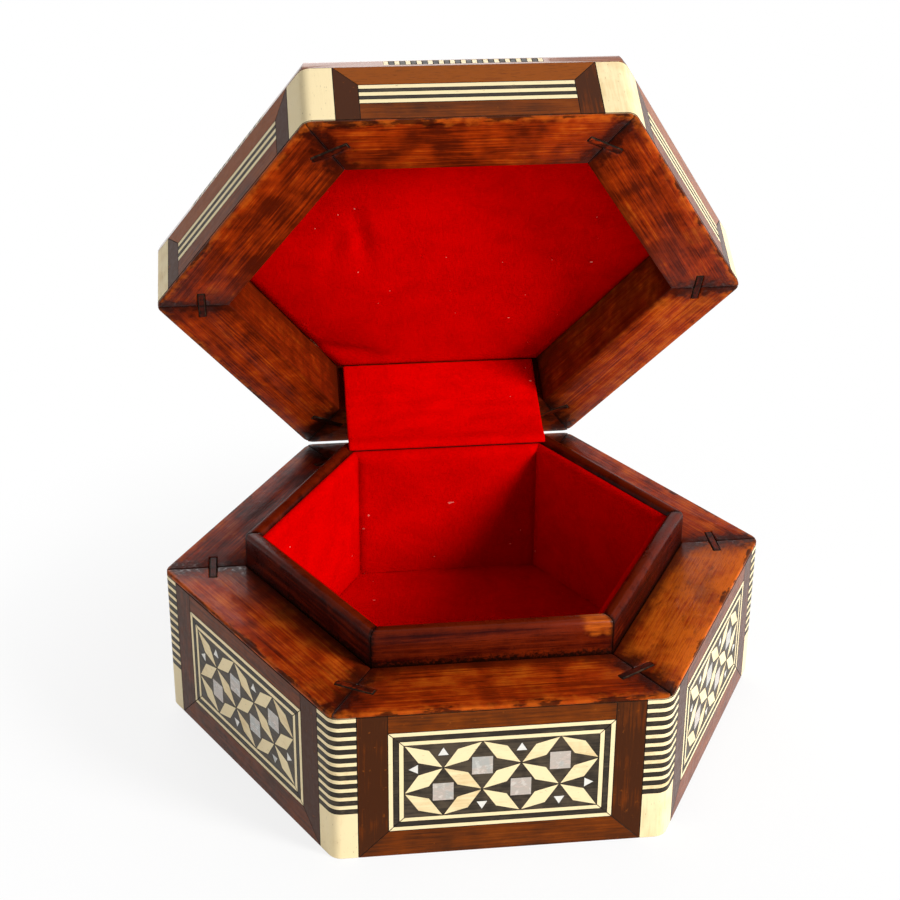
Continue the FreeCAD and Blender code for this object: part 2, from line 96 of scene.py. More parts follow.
def colour_property(name, description, default):
    return bpy.props.FloatVectorProperty(
        name=name, description=description, default=default, size=3, min=0, max=1, subtype="COLOR")


def length_property(name, description, default):
    return bpy.props.FloatProperty(
        name=name, description=description, default=default, min=0, unit="LENGTH", precision=5)


def angle_property(name, description, degrees):
    return bpy.props.FloatProperty(
        name=name, description=description, default=math.radians(degrees), subtype="ANGLE")


def power_property(name, description, default):
    return bpy.props.FloatProperty(name=name, description=description, default=default, min=0, unit="POWER")


class InlaidBoxSizes(bpy.types.PropertyGroup):
    """Roundings and soft shapes, in metres."""
    board_round: length_property("Board rounding", "Worn rounding of the rims' edges", 0.45 * MM)
    collar_round: length_property("Collar rounding", "Rounding of the collar's edges", 0.35 * MM)
    shoulder_round: length_property("Shoulder rounding", "Rounding of the lid's top edge", 1.1 * MM)
    inlay_round: length_property("Inlay rounding", "Eased edges of veneer and inlay", 0.09 * MM)
    key_round: length_property("Key rounding", "Sunken, glue-filled edges of the corner keys", 0.30 * MM)
    brass_round: length_property("Brass rounding", "Eased edges of the hinges", 0.12 * MM)
    tile_unevenness: length_property("Tile unevenness", "How far a tile may sit below its field", 0.05 * MM)
    lining_thick: length_property("Lining thickness", "Thickness of the well's linings", 1.6 * MM)
    lining_puff: length_property("Lining puff", "Swell of the well's linings", 0.5 * MM)
    floor_crown: length_property("Floor crown", "Swell of the well's floor pad", 0.9 * MM)
    strap_thick: length_property("Strap thickness", "Thickness of the velvet strap", 1.0 * MM)


class InlaidBoxColours(bpy.types.PropertyGroup):
    """Colours of the finishes."""
    # rim_dark also paints the shade at the collar's foot and in the lid's recess
    rim_dark: colour_property("Rim, dark", "Stain in the grain of the rims", (0.075, 0.0065, 0.0008))
    rim_wood: colour_property("Rim", "Stained wood of the rims", (0.30, 0.026, 0.0012))
    rim_light: colour_property("Rim, worn", "Stain worn thin", (0.54, 0.105, 0.006))
    collar_dark: colour_property("Collar, dark", "Dark stain of the collar", (0.010, 0.0009, 0.0003))
    collar_wood: colour_property("Collar", "Stained wood of the collar", (0.036, 0.0016, 0.0003))
    # collar_light also paints the highlight along the collar's top edge
    collar_light: colour_property("Collar, rubbed", "Collar rubbed down to the wood", (0.13, 0.011, 0.001))
    walnut_dark: colour_property("Walnut, dark", "Dark grain of the frames", (0.052, 0.013, 0.0025))
    walnut: colour_property("Walnut", "Veneer of the frames", (0.148, 0.028, 0.0012))
    walnut_light: colour_property("Walnut, light", "Light grain of the frames", (0.245, 0.058, 0.004))
    bone: colour_property("Bone", "Bone inlay", (0.85, 0.695, 0.40))
    bone_aged: colour_property("Bone, aged", "Yellowed bone", (0.68, 0.49, 0.24))
    bone_pits: colour_property("Bone, pits", "Dirt in the pores of the bone", (0.24, 0.14, 0.06))
    ebony: colour_property("Ebony", "Ebony inlay", (0.020, 0.014, 0.008))
    ebony_light: colour_property("Ebony, light", "Light grain in the ebony", (0.070, 0.050, 0.030))
    pearl: colour_property("Pearl", "Mother-of-pearl", (0.44, 0.385, 0.33))
    pearl_rose: colour_property("Pearl, rose", "Rose gleam of the pearl", (0.47, 0.38, 0.32))
    pearl_sea: colour_property("Pearl, sea", "Green gleam of the pearl", (0.36, 0.37, 0.34))
    pearl_white: colour_property("Pearl, white", "White gleam, and the chips", (0.80, 0.77, 0.70))
    plain_dark: colour_property("Plain wood, dark", "Grain of the unstained boards", (0.25, 0.135, 0.06))
    plain_wood: colour_property("Plain wood", "Unstained boards", (0.46, 0.29, 0.15))
    velvet: colour_property("Velvet", "Lit pile of the velvet", (0.63, 0.0, 0.0))
    velvet_deep: colour_property("Velvet, deep", "Velvet between the pile", (0.49, 0.0, 0.0))
    lint: colour_property("Lint", "Specks of lint on the velvet", (0.80, 0.25, 0.20))
    # grime also paints the shade along the rims' outer edge
    grime: colour_property("Grime", "Old dirt and varnish in the corners", (0.006, 0.0012, 0.0005))
    glue: colour_property("Glue", "Dark glue in the joints of the inlay", (0.012, 0.006, 0.003))
    glue_light: colour_property("Glue, dusty", "Dust in the joints", (0.045, 0.026, 0.014))
    brass: colour_property("Brass", "Hinges", (0.62, 0.42, 0.16))
    brass_dull: colour_property("Brass, dull", "Tarnish on the hinges", (0.26, 0.16, 0.06))


class InlaidBoxStage(bpy.types.PropertyGroup):
    """Camera, lights and floor."""
    camera_place: bpy.props.FloatVectorProperty(
        name="Camera", description="Where the camera stands", default=(-0.04503, -0.34800, 0.24148),
        subtype="TRANSLATION", unit="LENGTH", precision=5)
    camera_azimuth: angle_property("Azimuth", "Turn of the view about the vertical", -6.682)
    camera_elevation: angle_property("Elevation", "How steeply the camera looks down", 23.624)
    camera_roll: angle_property("Roll", "Tilt of the picture", 0.388)
    camera_lens: bpy.props.FloatProperty(
        name="Lens", description="Focal length in millimetres on a 36 mm sensor", default=68.961, min=1)
    camera_shift: bpy.props.FloatProperty(
        name="Shift", description="Upward shift of the lens, in picture widths", default=-0.111111)
    floor_colour: colour_property("Floor", "Pale floor", (0.90, 0.90, 0.90))
    floor_size: length_property("Floor size", "Width of the floor", 6.0)
    key_power: power_property("Key light", "Soft light at the front right", 15.2)
    fill_power: power_property("Fill light", "Soft light low at the left", 3.1)
    top_power: power_property("Top light", "Soft light above", 1.4)
    back_power: power_property("Back light", "Soft light behind the lid", 4.0)
    sky_level: bpy.props.FloatProperty(
        name="Surroundings", description="Brightness of the white surroundings", default=0.11, min=0)


class InlaidBoxSettings(bpy.types.PropertyGroup):
    """All that a user may change."""
    sizes: bpy.props.PointerProperty(type=InlaidBoxSizes)
    colours: bpy.props.PointerProperty(type=InlaidBoxColours)
    stage: bpy.props.PointerProperty(type=InlaidBoxStage)


def settings():
    return bpy.context.scene.inlaid_box


# Shader maths

class Value:
    """An output socket, with arithmetic that adds Math nodes."""

    def __init__(self, nodes, socket):
        self.nodes = nodes
        self.socket = socket

    def math(self, operation, *values):
        return self.nodes.node("ShaderNodeMath", {"operation": operation}, dict(enumerate(values)))

    def __add__(self, other):
        return self.math("ADD", self, other)

    def __sub__(self, other):
        return self.math("SUBTRACT", self, other)

    def __mul__(self, other):
        return self.math("MULTIPLY", self, other)

    def __rsub__(self, other):
        return self.math("SUBTRACT", other, self)

    __radd__ = __add__
    __rmul__ = __mul__

    def __abs__(self):
        return self.math("ABSOLUTE", self)

    def largest(self, other):
        return self.math("MAXIMUM", self, other)

    def uneven(self, pattern, reach):
        """The value moved up and down by a noise, by half the reach at most."""
        return self + (pattern - 0.5) * reach


class Nodes:
    """Adds nodes to a tree."""

    def __init__(self, tree):
        self.tree = tree

    def put(self, socket, value):
        """Links a value to a socket, or sets the socket."""
        if isinstance(value, Value):
            self.tree.links.new(value.socket, socket)
        elif socket.type == "RGBA":
            socket.default_value = (*value[:3], 1)
        else:
            socket.default_value = value

    def node(self, kind, options, inputs, output=0):
        """Adds a node: its settings first, then its sockets, and gives one output."""
        made = self.tree.nodes.new(kind)
        for key, value in options.items():
            if key == "stops":
                ramp = made.color_ramp.elements
                while len(ramp) < len(value):
                    ramp.new(0.5)
                for element, (place, colour) in zip(ramp, value):
                    element.position = place
                    element.color = (*colour, 1)
            else:
                setattr(made, key, value)
        for key, value in inputs.items():
            self.put(made.inputs[key], value)
        return Value(self, made.outputs[output])

    def vector(self, name):
        return self.node("ShaderNodeAttribute", {"attribute_name": name}, {}, "Vector")

    def number(self, name):
        return self.node("ShaderNodeAttribute", {"attribute_name": name}, {}, "Fac")

    def object_place(self):
        return self.node("ShaderNodeTexCoord", {}, {}, "Object")

    def seen(self):
        """1 where the ray comes from the camera, from a gloss or through glass, and else 0."""
        camera, gloss, glass = (
            self.node("ShaderNodeLightPath", {}, {}, output)
            for output in ("Is Camera Ray", "Is Glossy Ray", "Is Transmission Ray"))
        return camera.largest(gloss).largest(glass)

    def stretched(self, vector, factors):
        return self.node("ShaderNodeVectorMath", {"operation": "MULTIPLY"}, {0: vector, 1: factors})

    def noise(self, vector, scale=1.0, detail=4.0, roughness=0.55, distortion=0.0):
        return self.node("ShaderNodeTexNoise", {}, {
            "Vector": vector, "Scale": scale, "Detail": detail, "Roughness": roughness,
            "Distortion": distortion})

    def ramp(self, factor, *stops):
        return self.node("ShaderNodeValToRGB", {"stops": stops}, {"Fac": factor})

    def span(self, value, low, high, start=0.0, end=1.0):
        """Eases a value from low to high onto start to end."""
        return self.node("ShaderNodeMapRange", {"interpolation_type": "SMOOTHSTEP"}, {
            "Value": value, "From Min": low, "From Max": high, "To Min": start, "To Max": end})

    def blend(self, factor, one, other):
        """Mixes two colours, whose sockets have the Mix node's inputs 6 and 7 and output 2."""
        return self.node("ShaderNodeMix", {"data_type": "RGBA"}, {0: factor, 6: one, 7: other}, 2)

    def stained(self, colour, *stains):
        """Blends a colour towards each stain in turn, by what its value gives between low and high."""
        for stain, value, low, high, start, end in stains:
            colour = self.blend(self.span(value, low, high, start, end), colour, stain)
        return colour

    def bump(self, height, distance, strength):
        return self.node("ShaderNodeBump", {}, {
            "Height": height, "Distance": distance, "Strength": strength})


class Finish(Nodes):
    """A material built from nodes round one Principled surface."""

    def __init__(self, name):
        self.material = bpy.data.materials.new(name)
        self.material.use_nodes = True
        super().__init__(self.material.node_tree)
        self.surface = self.tree.nodes["Principled BSDF"]

    def shade(self, **sockets):
        for key, value in sockets.items():
            self.put(self.surface.inputs[key.replace("_", " ")], value)
        return self.material


# Finishes

def wood(finish, dark, middle, light, along=55.0, across=1100.0, tone_reach=0.5, streak=0.75, softness=1.0):
    """Colour and streak height of a wood whose grain runs along the attribute's first axis.

    The streaks have the scales along and across, and the share streak against soft clouds. Softness sets how
    gently the three colours pass into each other, and tone_reach how far a piece's tone shifts them.
    """
    grain = finish.vector("grain")
    tone = finish.number("tone")
    streaks = finish.noise(finish.stretched(grain, (along, across, across)), detail=6.0, roughness=0.65)
    pores = finish.noise(finish.stretched(grain, (along * 6, across * 5, across * 5)), detail=2.0)
    cloud = finish.noise(grain, scale=130.0, detail=3.0)
    level = streaks * streak + cloud * (1.1 - streak) + (tone - 0.5) * tone_reach * 0.4 - 0.05
    stops = (0.50 - 0.18 * softness, dark), (0.50, middle), (0.50 + 0.20 * softness, light)
    colour = finish.stained(finish.ramp(level, *stops), (dark, pores, 0.58, 0.70, 0.0, 0.65))
    return colour, streaks * 0.6 + pores * 0.4


BoardPlace = namedtuple("BoardPlace", "along out up mitre")


def board_place(finish):
    """Where a point lies on its side of the box: along it, out from the axis, up, and in from the mitre."""
    place = finish.vector("place")
    along, out, up = (finish.node("ShaderNodeSeparateXYZ", {}, {0: place}, axis) for axis in "XYZ")
    return BoardPlace(along, out, up, (out * TAN30 - abs(along)) * COS30)


def rim_finish(finish, colours):
    colour, height = wood(
        finish, colours.rim_dark, colours.rim_wood, colours.rim_light, along=60.0, across=2000.0,
        streak=0.6, softness=0.8)
    place = board_place(finish)
    low, high = shut_box("base_wall_front")
    outer_edge = -low[1]
    inner_edge = -high[1]
    grain = finish.vector("grain")
    mottle = finish.noise(grain, scale=420.0, detail=4.0)
    drips = finish.noise(finish.stretched(grain, (90.0, 300.0, 300.0)), detail=5.0, roughness=0.65)
    patches = finish.noise(grain, scale=75.0, detail=4.0, roughness=0.6)
    crumbs = finish.noise(grain, scale=1100.0, detail=4.0, roughness=0.7)
    bare = finish.span(place.mitre.uneven(mottle, 12 * MM).uneven(crumbs, 4 * MM), 0.0, 4.5 * MM)
    worn = place.out.uneven(mottle, 6 * MM)
    # Dark chips, and painted shade along the rounded outer edge
    chips_and_edge_shade = place.out.uneven(drips, 9 * MM)
    # Painted shade next to the collar's foot and in the lid's recess, darkest at the inner edge
    foot = place.out.uneven(mottle, 4 * MM)
    colour = finish.stained(
        colour,
        # Patchy stain, darker towards the mitres
        (colours.rim_dark, patches, 0.50, 0.64, 0.0, 0.4),
        (colours.rim_dark, place.mitre.uneven(mottle, 6 * MM), 0.0, 8.5 * MM, 0.9, 0.0),
        # Crusts and drips of old varnish, and dirt in the seam
        (colours.grime, bare, 0.0, 1.0, 0.65, 0.0),
        (colours.rim_dark, drips, 0.56, 0.70, 0.0, 0.6),
        (colours.grime, place.mitre.uneven(mottle, 1.2 * MM), 0.0, 0.6 * MM, 0.75, 0.0),
        # The outer edge, worn and chipped with painted shade along it, and painted shade at the inner edge
        (colours.rim_light, worn, outer_edge - 1.8 * MM, outer_edge + 0.8 * MM, 0.0, 0.55),
        # Dark chips, with painted shade along the outer edge
        (colours.grime, chips_and_edge_shade, outer_edge - 0.4 * MM, outer_edge + 0.3 * MM, 0.0, 0.8),
        # Painted shade at the collar's foot and in the lid's recess
        (colours.rim_dark, foot, inner_edge + 0.3 * MM, inner_edge + 4.0 * MM, 0.85, 0.0))
    relief = height * 0.5 + drips * 0.25 + crumbs * (1.1 - bare) * 0.6
    return finish.shade(
        Base_Color=colour, Roughness=finish.span(mottle, 0.3, 0.7, 0.28, 0.46), Specular_IOR_Level=0.03,
        Coat_Weight=finish.span(crumbs - bare * 0.10, 0.50, 0.62, 0.05, 0.6), Coat_Roughness=0.08,
        Coat_IOR=1.3, Normal=finish.bump(relief, 0.24 * MM, 0.7))


def key_finish(finish, colours):
    colour, height = wood(finish, colours.collar_dark, colours.rim_dark, colours.rim_wood, along=90.0)
    ragged = finish.noise(finish.vector("grain"), scale=800.0, detail=4.0)
    colour = finish.stained(colour, (colours.grime, ragged, 0.46, 0.62, 0.0, 0.85))
    return finish.shade(
        Base_Color=colour, Roughness=0.45, Specular_IOR_Level=0.05,
        Normal=finish.bump(height * 0.5 + ragged * 0.5, 0.3 * MM, 0.7))


def collar_finish(finish, colours):
    colour, height = wood(finish, colours.collar_dark, colours.collar_wood, colours.collar_light, along=45.0)
    place = board_place(finish)
    high = shut_box("collar_front")[1]
    end = high[0]
    top = high[2]
    foot = shut_box("base_wall_front")[1][2]
    grain = finish.vector("grain")
    mottle = finish.noise(grain, scale=300.0, detail=5.0)
    specks = finish.noise(grain, scale=1500.0, detail=4.0, roughness=0.7)
    streaks = finish.noise(finish.stretched(grain, (150.0, 1500.0, 1500.0)), detail=5.0)
    # Lighter along the top, partly rubbed and partly a painted highlight on the rounded top edge, and
    # scraped here and there
    colour = finish.stained(
        colour,
        (colours.collar_light, place.up.uneven(mottle, 3 * MM), top - 1.5 * MM, top + 0.2 * MM, 0.0, 0.7),
        (colours.collar_light, mottle, 0.60, 0.74, 0.0, 0.45))
    # Worn to the wood at the right end of the front strip, which alone has a tone of 1
    worn = (
        finish.span(place.along.uneven(mottle, 6 * MM), end - 7.2 * MM, end - 4.7 * MM)
        * finish.span(place.up.uneven(mottle, 5 * MM), top - 4.2 * MM, top - 2.2 * MM)
        * finish.span(finish.number("tone"), 0.95, 0.98, 0.0, 0.7)
        * finish.span(streaks, 0.35, 0.6, 0.35, 1.0))
    colour = finish.blend(worn, colour, colours.rim_light)
    # Dirt in the corners and at the foot, and crumbs of it elsewhere
    colour = finish.stained(
        colour,
        (colours.grime, place.mitre.uneven(specks, 2 * MM), 0.0, 1.1 * MM, 0.9, 0.0),
        (colours.grime, place.up.uneven(specks, 5 * MM), foot + 0.2 * MM, foot + 1.9 * MM, 0.97, 0.0),
        (colours.grime, specks, 0.66, 0.72, 0.0, 0.8))
    return finish.shade(
        Base_Color=colour, Roughness=finish.span(mottle, 0.3, 0.7, 0.22, 0.40), Specular_IOR_Level=0.04,
        Coat_Weight=0.05, Coat_Roughness=0.10,
        Normal=finish.bump(height * 0.6 + specks * 0.4, 0.22 * MM, 0.6))


def plain_finish(finish, colours):
    colour, height = wood(finish, colours.plain_dark, colours.plain_wood, colours.plain_wood)
    return finish.shade(Base_Color=colour, Roughness=0.6, Normal=finish.bump(height, 0.15 * MM, 0.6))


def walnut_finish(finish, colours, coat=0.6, coat_ior=1.15):
    colour, height = wood(
        finish, colours.walnut_dark, colours.walnut, colours.walnut_light, along=70.0, across=1700.0,
        tone_reach=1.0, streak=0.65)
    scuffs = finish.noise(finish.vector("grain"), scale=700.0, detail=3.0)
    colour = finish.stained(colour, (colours.walnut_light, scuffs, 0.66, 0.74, 0.0, 0.5))
    return finish.shade(
        Base_Color=colour, Roughness=finish.span(scuffs, 0.3, 0.7, 0.34, 0.50), Specular_IOR_Level=0.03,
        Coat_Weight=coat, Coat_Roughness=0.1, Coat_IOR=coat_ior, Normal=finish.bump(height, 0.1 * MM, 0.5))


def polished_edge_finish(finish, colours):
    return walnut_finish(finish, colours, coat=1.0, coat_ior=1.5)


def bone_finish(finish, colours):
    grain = finish.vector("grain")
    fibres = finish.noise(finish.stretched(grain, (120.0, 1600.0, 1600.0)), detail=4.0)
    cloud = finish.noise(grain, scale=260.0, detail=3.0)
    pits = finish.noise(finish.stretched(grain, (900.0, 3600.0, 3600.0)), detail=2.0)
    age = fibres * 0.5 + cloud * 0.45 + finish.number("tone") * 0.28 - 0.14
    colour = finish.stained(
        colours.bone,
        (colours.bone_aged, age, 0.42, 0.74, 0.0, 0.85),
        (colours.bone_pits, pits, 0.66, 0.76, 0.0, 0.6))
    return finish.shade(
        Base_Color=colour, Roughness=finish.span(cloud, 0.3, 0.7, 0.32, 0.48), Specular_IOR_Level=0.25,
        Coat_Weight=0.1, Coat_Roughness=0.2, Normal=finish.bump(fibres * 0.6 + pits * 0.4, 0.06 * MM, 0.5))


def ebony_finish(finish, colours):
    grain = finish.vector("grain")
    streaks = finish.noise(finish.stretched(grain, (120.0, 1800.0, 1800.0)), detail=4.0)
    cloud = finish.noise(grain, scale=500.0, detail=3.0)
    level = (streaks * 0.6 + cloud * 0.4).uneven(finish.number("tone"), 0.15)
    return finish.shade(
        Base_Color=finish.stained(colours.ebony, (colours.ebony_light, level, 0.45, 0.72, 0.0, 0.9)),
        Roughness=finish.span(cloud, 0.3, 0.7, 0.34, 0.52), Specular_IOR_Level=0.2,
        Normal=finish.bump(streaks, 0.06 * MM, 0.5))


def pearl_finish(finish, colours):
    grain = finish.vector("grain")
    tone = finish.number("tone")
    layers = finish.noise(finish.stretched(grain, (420.0, 420.0, 1100.0)), detail=3.0, distortion=1.2)
    drift = finish.noise(grain, scale=380.0, detail=2.0)
    gleam = finish.noise(grain, scale=900.0, detail=2.0)
    colour = finish.stained(
        colours.pearl,
        (colours.pearl_rose, layers, 0.42, 0.62, 0.0, 1.0),
        (colours.pearl_sea, drift.uneven(tone, 0.3), 0.48, 0.66, 0.0, 0.8),
        (colours.pearl_white, gleam, 0.55, 0.7, 0.0, 0.3),
        # The chips, whose tones are over 1
        (colours.pearl_white, tone, 1.0, 1.02, 0.0, 0.8))
    return finish.shade(
        Base_Color=colour, Roughness=finish.span(layers, 0.35, 0.65, 0.16, 0.30), Coat_Weight=0.4,
        Coat_Roughness=0.1, Normal=finish.bump(layers, 0.08 * MM, 0.5))


def velvet_finish(finish, colours):
    place = finish.object_place()
    pile = finish.noise(place, scale=3800.0, detail=3.0, roughness=0.6)
    brushed = finish.noise(place, scale=95.0, detail=4.0, roughness=0.6, distortion=0.6)
    tufts = finish.noise(place, scale=1100.0, detail=3.0)
    lint = finish.noise(place, scale=760.0, detail=0.0)
    colour = finish.stained(
        colours.velvet_deep,
        (colours.velvet, pile * 0.30 + brushed * 0.45 + tufts * 0.25, 0.36, 0.60, 0.0, 1.0),
        (colours.lint, lint, 0.875, 0.89, 0.0, 0.7))
    return finish.shade(
        Base_Color=colour, Roughness=finish.span(brushed, 0.3, 0.7, 0.80, 0.95), Specular_IOR_Level=0.0,
        Sheen_Weight=0.18, Sheen_Roughness=0.45, Sheen_Tint=(1.0, 0.0, 0.0),
        Normal=finish.bump(pile * 0.5 + tufts * 0.5, 0.35 * MM, 0.7))


def brass_finish(finish, colours):
    place = finish.object_place()
    tarnish = finish.noise(place, scale=420.0, detail=5.0)
    scratches = finish.noise(finish.stretched(place, (260.0, 4200.0, 4200.0)), detail=2.0)
    return finish.shade(
        Base_Color=finish.stained(colours.brass, (colours.brass_dull, tarnish, 0.42, 0.66, 0.0, 1.0)),
        Metallic=1.0, Roughness=finish.span(tarnish, 0.3, 0.7, 0.28, 0.5),
        Normal=finish.bump(scratches, 0.05 * MM, 0.4))


def glue_finish(finish, colours):
    dust = finish.noise(finish.object_place(), scale=900.0, detail=3.0)
    return finish.shade(
        Base_Color=finish.stained(colours.glue, (colours.glue_light, dust, 0.48, 0.70, 0.0, 1.0)),
        Roughness=0.8, Specular_IOR_Level=0.1)


# Each finish's material name, and what builds it
FINISHES = {
    "glue": ("dark_glue", glue_finish),
    "polished_edge": ("polished_walnut_edge", polished_edge_finish),
    "stained_wood": ("polished_stained_wood", rim_finish),
    "dark_stained_wood": ("dark_polished_wood", collar_finish),
    "key_wood": ("key_wood", key_finish),
    "plain_wood": ("plain_wood", plain_finish),
    "walnut_veneer": ("walnut_veneer", walnut_finish),
    "bone": ("bone", bone_finish),
    "ebony": ("ebony", ebony_finish),
    "mother_of_pearl": ("mother_of_pearl", pearl_finish),
    "red_velvet": ("red_velvet", velvet_finish),
    "hinge_brass": ("hinge_brass", brass_finish),
}
made_finishes = {}


def add_finish(piece, name):
    """Adds a finish to a piece's materials, making it the first time."""
    if name not in made_finishes:
        title, build = FINISHES[name]
        made_finishes[name] = build(Finish(title), settings().colours)
    piece.data.materials.append(made_finishes[name])


# Mesh tools

def select_only(piece):
    bpy.ops.object.select_all(action="DESELECT")
    piece.select_set(True)
    bpy.context.view_layer.objects.active = piece


def edit(piece):
    """Edit mode with the whole mesh selected."""
    select_only(piece)
    bpy.ops.object.mode_set(mode="EDIT")
    bpy.ops.mesh.select_mode(type="VERT")
    bpy.ops.mesh.select_all(action="SELECT")


def leave_edit():
    bpy.ops.object.mode_set(mode="OBJECT")


def apply_modifier(piece, kind, **options):
    select_only(piece)
    modifier = piece.modifiers.new(kind.title(), kind)
    for key, value in options.items():
        setattr(modifier, key, value)
    bpy.ops.object.modifier_apply(modifier=modifier.name)


def smooth(piece, degrees):
    select_only(piece)
    bpy.ops.object.shade_smooth_by_angle(angle=math.radians(degrees))


def coordinates(mesh):
    points = np.empty(len(mesh.vertices) * 3, np.float32)
    mesh.vertices.foreach_get("co", points)
    return points.reshape(-1, 3).astype(float)


def move_points(mesh, points):
    mesh.vertices.foreach_set("co", np.asarray(points, np.float32).ravel())
    mesh.update()


def carried(matrix, points):
    """Points moved by a 4x4 matrix."""
    turn = np.array(matrix.to_3x3())
    return points @ turn.T + np.array(matrix.translation)


def separate_solids(mesh):
    """Corner points and faces of a node's closed solids, each solid with corners of its own."""
    steps_per_metre = 1e7
    points = []
    faces = []
    corners = {}
    open_edges = set()
    for face in mesh.polygons:
        ring = []
        for index in face.vertices:
            place = mesh.vertices[index].co
            key = tuple(round(value * steps_per_metre) for value in place)
            if key not in corners:
                corners[key] = len(points)
                points.append(place.copy())
            ring.append(corners[key])
        if len(set(ring)) < 3:
            continue
        faces.append(ring)
        for one, other in zip(ring, ring[1:] + ring[:1]):
            open_edges ^= {(min(one, other), max(one, other))}
        if not open_edges:
            corners = {}
    return points, faces


def islands(mesh):
    """Number of the joined piece that each vertex belongs to, in vertex order."""
    group = list(range(len(mesh.vertices)))

    def root(index):
        while group[index] != index:
            group[index] = group[group[index]]
            index = group[index]
        return index

    for edge in mesh.edges:
        one, other = (root(index) for index in edge.vertices)
        group[max(one, other)] = min(one, other)
    roots = np.array([root(index) for index in range(len(group))])
    return np.unique(roots, return_inverse=True)[1]


def on_lid(node):
    return frame["nodes"][node]["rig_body"] == "lid"


def shut_points(piece, lid):
    """Points of a piece, with the lid shut if the piece is the lid's."""
    points = coordinates(piece.data)
    return carried(SHUT, points) if lid else points


def shut_box(node):
    """Lowest and highest corner of a node, with the lid shut."""
    points = shut_points(frame["nodes"][node], on_lid(node))
    return points.min(axis=0), points.max(axis=0)


def side_turn(points, shift=0.0):
    """Sixths of a turn from the front side to the side that points lie on, or with shift 0.5 to a corner."""
    middle = points.mean(axis=0)
    return round((math.atan2(middle[1], middle[0]) + math.pi / 2) / SIXTH - shift) + shift


def mark_grain(piece, lid, grain, corner, tones, seed):
    """Writes each solid's own grain direction, place on its side and tone onto its points."""
    points = shut_points(piece, lid)
    numbers = islands(piece.data)
    place = np.empty_like(points)
    along = np.empty_like(points)
    tone = np.empty(len(points))
    order = {"along": (0, 1, 2), "up": (2, 0, 1)}[grain]
    draw = random.Random(seed)
    for number in range(numbers.max() + 1):
        mine = numbers == number
        turns = side_turn(points[mine], 0.5 if corner else 0.0)
        local = carried(Matrix.Rotation(-turns * SIXTH, 4, "Z"), points[mine])
        local[:, 1] *= -1
        place[mine] = local
        along[mine] = local[:, order] + [draw.uniform(-1, 1) for axis in range(3)]
        tone[mine] = draw.uniform(*tones)
    for name, values in (("place", place), ("grain", along)):
        layer = piece.data.attributes.new(name, "FLOAT_VECTOR", "POINT")
        layer.data.foreach_set("vector", values.astype(np.float32).ravel())
    layer = piece.data.attributes.new("tone", "FLOAT", "POINT")
    layer.data.foreach_set("value", tone.astype(np.float32))


def settle_tiles(piece, lid, most, seed):
    """Lets each tile sit a hair lower than its field, in towards the box's axis."""
    points = shut_points(piece, lid)
    numbers = islands(piece.data)
    draw = random.Random(seed)
    for number in range(numbers.max() + 1):
        mine = numbers == number
        angle = side_turn(points[mine]) * SIXTH - math.pi / 2
        points[mine] -= draw.uniform(0, most) * np.array((math.cos(angle), math.sin(angle), 0))
    move_points(piece.data, carried(OPEN, points) if lid else points)


def weigh_edges(mesh, choose):
    """Marks for rounding the edges whose two ends are both chosen."""
    chosen = choose(coordinates(mesh))
    weights = [float(chosen[list(edge.vertices)].all()) for edge in mesh.edges]
    mesh.attributes.new("bevel_weight_edge", "FLOAT", "EDGE").data.foreach_set("value", weights)


def on_lid_edge(points):
    """Points on the outer edge of the lid's top face."""
    shut = carried(SHUT, points)
    border_reach = shut_box("lid_top_border")[1][1]
    band_width = 1.5 * MM
    flatness = 0.01 * MM
    past_border = edge_distance(shut, border_reach) < -band_width
    return (shut[:, 2] > shut[:, 2].max() - flatness) & past_border


def dress(node, rounding, segments=1, grain="along", corner=False, settle=0.0, glued=True, tones=(0, 1),
          finish=None, choose=None):
    """A finished copy of a rigid node: merged, eased along its edges and given its grain.

    A piece at a corner of the box takes its grain from the corner. Settle is how far its tiles may sink. The
    eased edges of a glued piece hold dark glue. Tones is the range of its solids' tones. Where choose is
    given, it picks the points whose edges are rounded.
    """
    source = frame["nodes"][node]
    points, faces = separate_solids(source.data)
    mesh = bpy.data.meshes.new("finished_" + node)
    mesh.from_pydata(points, [], faces)
    piece = bpy.data.objects.new("finished_" + node, mesh)
    bpy.context.scene.collection.objects.link(piece)
    add_finish(piece, finish or NODE_SLOTS[node])
    if glued:
        add_finish(piece, "glue")
    edit(piece)
    bpy.ops.mesh.dissolve_limited(angle_limit=math.radians(0.5))
    leave_edit()
    if choose:
        weigh_edges(mesh, choose)
    if rounding:
        apply_modifier(
            piece, "BEVEL", width=rounding, segments=segments, limit_method="WEIGHT" if choose else "ANGLE",
            angle_limit=math.radians(30), use_clamp_overlap=True, material=1 if glued else -1)
    seed = sum(ord(letter) * (place + 1) for place, letter in enumerate(node))
    if settle:
        settle_tiles(piece, on_lid(node), settle, seed)
    mark_grain(piece, on_lid(node), grain, corner, tones, seed)
    smooth(piece, degrees=35)
    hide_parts(node)
    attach(piece, source["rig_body"])
    return piece


# Velvet

def add_primitive(name, add, **options):
    """A new primitive, the only object selected."""
    bpy.ops.object.select_all(action="DESELECT")
    add(**options)
    piece = bpy.context.object
    piece.name = name
    piece.data.name = name
    return piece


def velvet(piece, node, body):
    """Covers a piece in velvet and puts it in its node's place."""
    smooth(piece, degrees=60)
    add_finish(piece, "red_velvet")
    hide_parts(node)
    if body:
        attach(piece, body)


